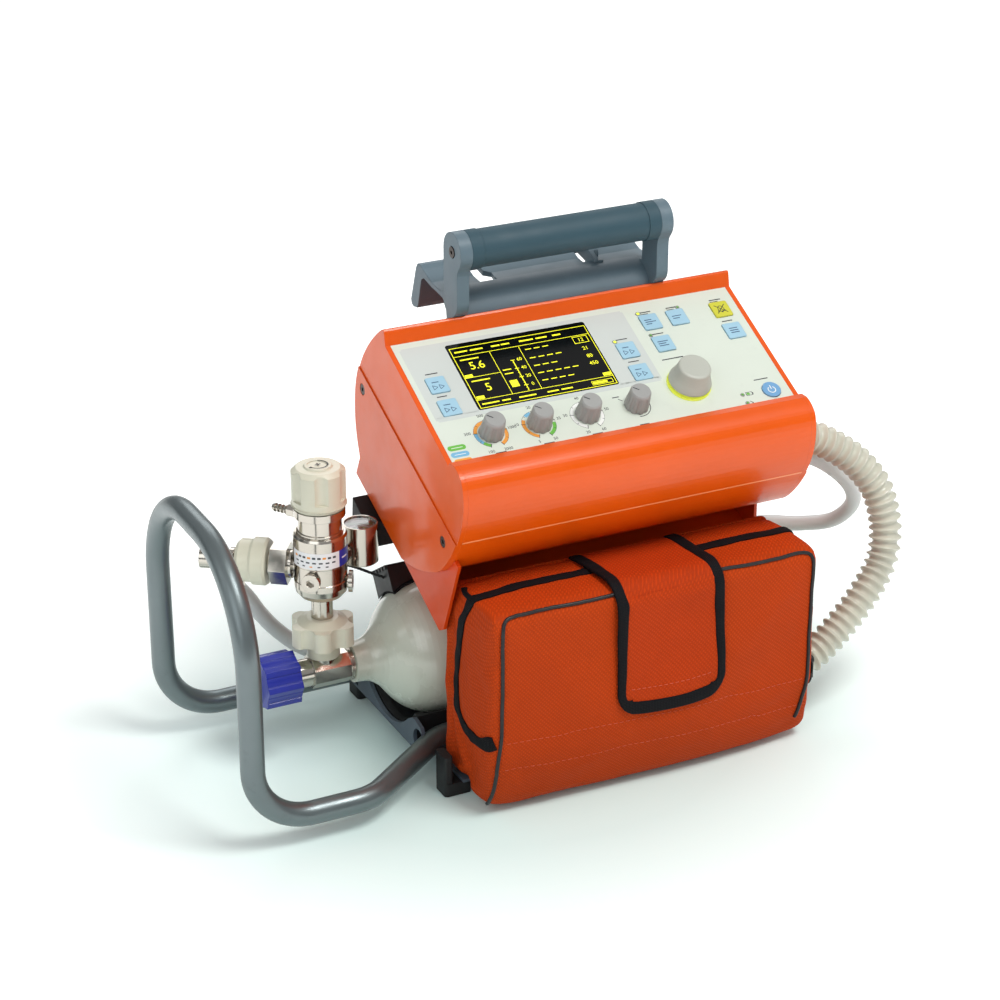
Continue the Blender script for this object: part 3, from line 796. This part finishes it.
for t, fx, fy, h in (("5.6", 0.143, 0.36, 7.2), ("5", 0.141, 0.70, 7.2)):
    p = sp(fx, fy); digits(bm, t, h, p[0], p[1], pan, S0, S1, 0)
for fx, fy in ((0.052, 0.497), (0.053, 0.826), (0.955, 0.822)):
    p = sp(fx, fy); prism(bm, rr(p[0] - 3.2, p[1] - 1.5, p[0] + 3.2, p[1] + 1.5, 0.4), pan, S0, S1, 0)
p, q = sp(0.86, 0.205), sp(0.965, 0.31); frame_loop(bm, p[0], p[1], q[0], q[1], 0.45, pan, S0, S1, 0)
for t, fy in (("12", 0.26), ("21", 0.395), ("80", 0.515), ("450", 0.63)):
    p = sp(0.912, fy); digits(bm, t, 3.4, p[0], p[1], pan, S0, S1, 0)
for fy, n in ((0.26, 3), (0.395, 4), (0.515, 3), (0.63, 5), (0.745, 4)):
    for i in range(n): sl((0.51 + i * 0.062, fy), (0.552 + i * 0.062, fy), 0.8)
for fx0, fx1 in ((0.04, 0.13), (0.15, 0.24), (0.30, 0.36), (0.37, 0.43), (0.50, 0.60), (0.62, 0.70), (0.74, 0.80)): sl((fx0, 0.125), (fx1, 0.125), 1.3)
for fx0, fx1 in ((0.04, 0.16), (0.18, 0.24), (0.30, 0.42), (0.50, 0.58), (0.60, 0.68)): sl((fx0, 0.925), (fx1, 0.925), 1.2)
p, q = sp(0.82, 0.895), sp(0.97, 0.955); frame_loop(bm, p[0], p[1], q[0], q[1], 0.4, pan, S0, S1, 0)
p, q = sp(0.828, 0.91), sp(0.93, 0.94); prism(bm, rr(p[0], p[1], q[0], q[1]), pan, S0, S1, 0)
for fx, fy in ((0.05, 0.25), (0.05, 0.58)): sl((fx, fy), (fx + 0.13, fy), 1.1)
screen = finish_mesh("screen_picture", bm, "screen", "frame_body")

# ---- icons on the keys: each rides with its key -------------------------------------
def icon(key, draw, mat="print_icon"):
    bm = bmesh.new(); u, v = KEYS[key] if key in KEYS else (126.9, 108.2)
    draw(bm, u, v); finish_mesh("icon_" + key, bm, mat, BODY[key])
K0, K1 = 1.08, 1.16
def arrows(b, u, v):
    for c in (-2.6, 2.6): outline(b, [(u + c - 1.7, v + 0.2), (u + c + 1.8, v + 2.3), (u + c - 1.7, v + 4.4)], 0.42, pan, K0, K1)
    line(b, (u - 3.8, v - 2.6), (u + 1.6, v - 2.6), 0.7, pan, K0, K1)
for key in ("key_hold_upper", "key_hold_lower", "key_value_upper", "key_value_lower"): icon(key, arrows)
def bars(*rows): return lambda b, u, v: [line(b, (u + a, v + y), (u + c, v + y), 0.75, pan, K0, K1) for a, c, y in rows]
icon("key_mode_1", bars((-4.6, 1.4, -1.9), (-4.6, 4.4, 0.2), (-4.6, 0.2, 2.3)))
icon("key_mode_2", bars((-4.4, 3.6, -1.1), (-4.4, 1.2, 1.2)))
icon("key_mode_3", bars((-4.6, 4.2, -1.9), (-4.6, 2.0, 0.2), (-4.6, 3.4, 2.3)))
icon("key_menu", bars((-3.6, 3.6, -2.2), (-3.6, 3.6, 0.0), (-3.6, 3.6, 2.2)))
def bell(b, u, v):
    outline(b, [(u - 3.4, v + 2.3), (u - 2.5, v + 1.2), (u - 2.3, v - 1.2), (u - 1.3, v - 2.7), (u, v - 3.2), (u + 1.3, v - 2.7), (u + 2.3, v - 1.2), (u + 2.5, v + 1.2), (u + 3.4, v + 2.3)], 0.5, pan, K0, K1)
    prism(b, rr(u - 0.8, v + 2.7, u + 0.8, v + 3.6, 0.3), pan, K0, K1); line(b, (u - 4.4, v + 4.2), (u + 4.4, v - 4.2), 0.6, pan, K0, K1 + 0.02); line(b, (u - 4.4, v - 4.2), (u + 4.4, v + 4.2), 0.6, pan, K0, K1 + 0.02)
icon("key_alarm", bell, "print_dark")
def power(b, u, v): arc(b, u, v + 0.4, 2.6, 3.3, 35, 325, pan, K0, K1); line(b, (u, v - 4.0), (u, v - 0.2), 0.7, pan, K0, K1)
icon("key_power", power, "print_white")

# dark pointers in the slots of the four knobs, and the ring of white ticks by the selector
for key, (u, v) in KNOBS.items():
    bm = bmesh.new(); a = math.radians(310)
    d = (math.sin(a), -math.cos(a)); t0, t1 = (u + d[0] * 1.7, v + d[1] * 1.7), (u + d[0] * 6.5, v + d[1] * 6.5)
    line(bm, t0, t1, 0.72, pan, 15.72, 16.36); finish_mesh("pointer_" + key, bm, "print_dark", BODY[key])

# ---- regulator: its label band, a knob badge ring, the gauge's scale ------------------
RX = -202.0
def band_at(r): return lambda a, z, h: M(RX + (r + h) * math.cos(math.radians(a)), (r + h) * math.sin(math.radians(a)), z)
bm = bmesh.new(); pl = band_at(20.52)
def patch(a0, a1, z0, z1, h0, h1, mi):
    n = max(1, int((a1 - a0) / 3)); A = [(a0 + (a1 - a0) * i / n, z0) for i in range(n + 1)]; B = [(a, z1) for a, _ in A]
    strip(bm, A, B, pl, h0, h1, mi)
patch(176, 290, 162, 175, 0.0, 0.14, 0); patch(290.2, 330, 162, 175, 0.0, 0.14, 1)
for i in range(9): patch(186 + i * 11.0, 193 + i * 11.0, 170.6, 172.2, 0.13, 0.17, 2 if i % 3 else 3)
for i in range(7): patch(188 + i * 14, 196 + i * 14, 166.8, 168.0, 0.13, 0.17, 2)
for i in range(5): patch(190 + i * 17, 196 + i * 17, 163.8, 164.8, 0.13, 0.17, 3 if i == 2 else 2)
patch(298, 316, 168.0, 169.2, 0.13, 0.17, 0)
finish_mesh("regulator_label", bm, ["label_white", "label_blue", "print_dark", "print_orange"], "frame_body", 50)
bm = bmesh.new(); top = lambda a, b, h: M(RX + a, b, 239.0 + h)
def rk(x, y, h): return M(RX + x, y, 234.4 + h)
arc(bm, 0, 0, 6.9, 7.7, 20, 250, lambda a, b, h: M(RX + a, -b, 239 + h), -0.02, 0.08, 0)
prism(bm, [(-6.2, 4.6), (-8.6, 3.2), (-6.0, 1.9)], lambda a, b, h: M(RX + a, -b, 239 + h), -0.02, 0.08, 0)
line(bm, (-2.2, 0), (2.2, 0), 0.8, lambda a, b, h: M(RX + a, -b, 239 + h), -0.02, 0.08, 0); line(bm, (0, -2.2), (0, 2.2), 0.8, lambda a, b, h: M(RX + a, -b, 239 + h), -0.02, 0.08, 0)
finish_mesh("knob_arrow", bm, "print_dark", BODY["regulator_knob"])
gb0, gb1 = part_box("gauge_dial"); gc = (gb0 + gb1) / 2
bm = bmesh.new(); dial = lambda a, b, h: Vector((gc.x + a / 1000, gc.y - b / 1000, gb1.z + h / 1000))
arc(bm, 0, 0, 9.6, 10.0, -135, 135, dial, -0.02, 0.05, 1)
arc(bm, 0, 0, 7.8, 9.4, -60, 100, dial, -0.02, 0.05, 0); arc(bm, 0, 0, 7.8, 9.4, -135, -100, dial, -0.02, 0.05, 2)
for i in range(11):
    a = -135 + 27 * i; line(bm, clock(0, 0, 9.4, a), clock(0, 0, 11.3 if i % 2 == 0 else 10.6, a), 0.35, dial, 0.0, 0.06, 1)
for i, t in ((0, "0"), (4, "100"), (6, "150"), (10, "200")):
    p = clock(0, 0, 6.2, -135 + 27 * i); digits(bm, t, 1.5, p[0], p[1], dial, -0.02, 0.05, 1)
finish_mesh("gauge_scale", bm, ["print_green", "print_dark", "print_orange"], "frame_body")

# ================================================================ floor, light ====
bm = bmesh.new()
for v in ((-6, -6, 0), (6, -6, 0), (6, 6, 0), (-6, 6, 0)): bm.verts.new(v)
bm.faces.new(bm.verts)
fm = Mat("floor_pale")
sep = fm.scaled(1.15, 1.35, 0.0)
gr = fm.n.new("ShaderNodeTexGradient"); gr.gradient_type = "SPHERICAL"; fm.link(sep, gr.inputs["Vector"])
fm.color(fm.ramp(gr.outputs["Fac"], [(0.45, (0.94, 0.95, 0.945)), (0.92, (0.66, 0.88, 0.84))]))
fm.rough(fm.rng(fm.noise(3.0), 0.75, 0.85)); fm.put("Specular IOR Level", 0.15)
fm.put("Emission Color", (0.96, 1.0, 0.99, 1.0)); fm.link(fm.rng(gr.outputs["Fac"], 0.50, 0.03, 0.35, 0.78), fm.b.inputs["Emission Strength"])
me = bpy.data.meshes.new("floor"); bm.to_mesh(me); bm.free(); me.materials.append(fm.m)
fl = bpy.data.objects.new("floor", me); col0.objects.link(fl)
fl.location.z = -0.0004

def area(name, loc, aim, size, power, color=(1, 1, 1), sy=None):
    L = bpy.data.lights.new(name, "AREA"); L.energy = power; L.size = size; L.color = color
    if sy: L.shape = "RECTANGLE"; L.size_y = sy
    o = bpy.data.objects.new(name, L); col0.objects.link(o); o.location = loc
    o.rotation_euler = (Vector(aim) - Vector(loc)).to_track_quat("-Z", "Y").to_euler()
area("key", (0.55, -1.05, 2.4), (0, 0, 0.15), 0.9, 40, (1.0, 0.985, 0.96))
area("fill", (-1.8, -1.3, 1.4), (0, 0, 0.15), 1.5, 12, (0.95, 0.98, 1.0))
area("rim", (0.6, 1.9, 1.6), (0, 0, 0.2), 1.4, 12, (1.0, 1.0, 1.0))
area("strip", (-1.9, 0.2, 0.9), (-0.1, 0, 0.15), 0.35, 2.5, (1, 1, 1), 1.6)
w = bpy.data.worlds.new("studio"); bpy.context.scene.world = w; w.use_nodes = True
nt = w.node_tree; nt.nodes.clear(); wo = nt.nodes.new("ShaderNodeOutputWorld"); bg = nt.nodes.new("ShaderNodeBackground")
tc = nt.nodes.new("ShaderNodeTexCoord"); sx = nt.nodes.new("ShaderNodeSeparateXYZ"); nt.links.new(tc.outputs["Generated"], sx.inputs[0])
wr = nt.nodes.new("ShaderNodeValToRGB"); nt.links.new(sx.outputs["Z"], wr.inputs["Fac"])
e = wr.color_ramp.elements; e[0].position = 0.0; e[0].color = (0.10, 0.11, 0.12, 1); e[1].position = 0.75; e[1].color = (1, 1, 1, 1)
e2 = e.new(0.16); e2.color = (0.22, 0.23, 0.24, 1); e3 = e.new(0.30); e3.color = (0.88, 0.91, 0.93, 1)
nt.links.new(wr.outputs[0], bg.inputs["Color"]); bg.inputs["Strength"].default_value = 0.42; nt.links.new(bg.outputs[0], wo.inputs["Surface"])
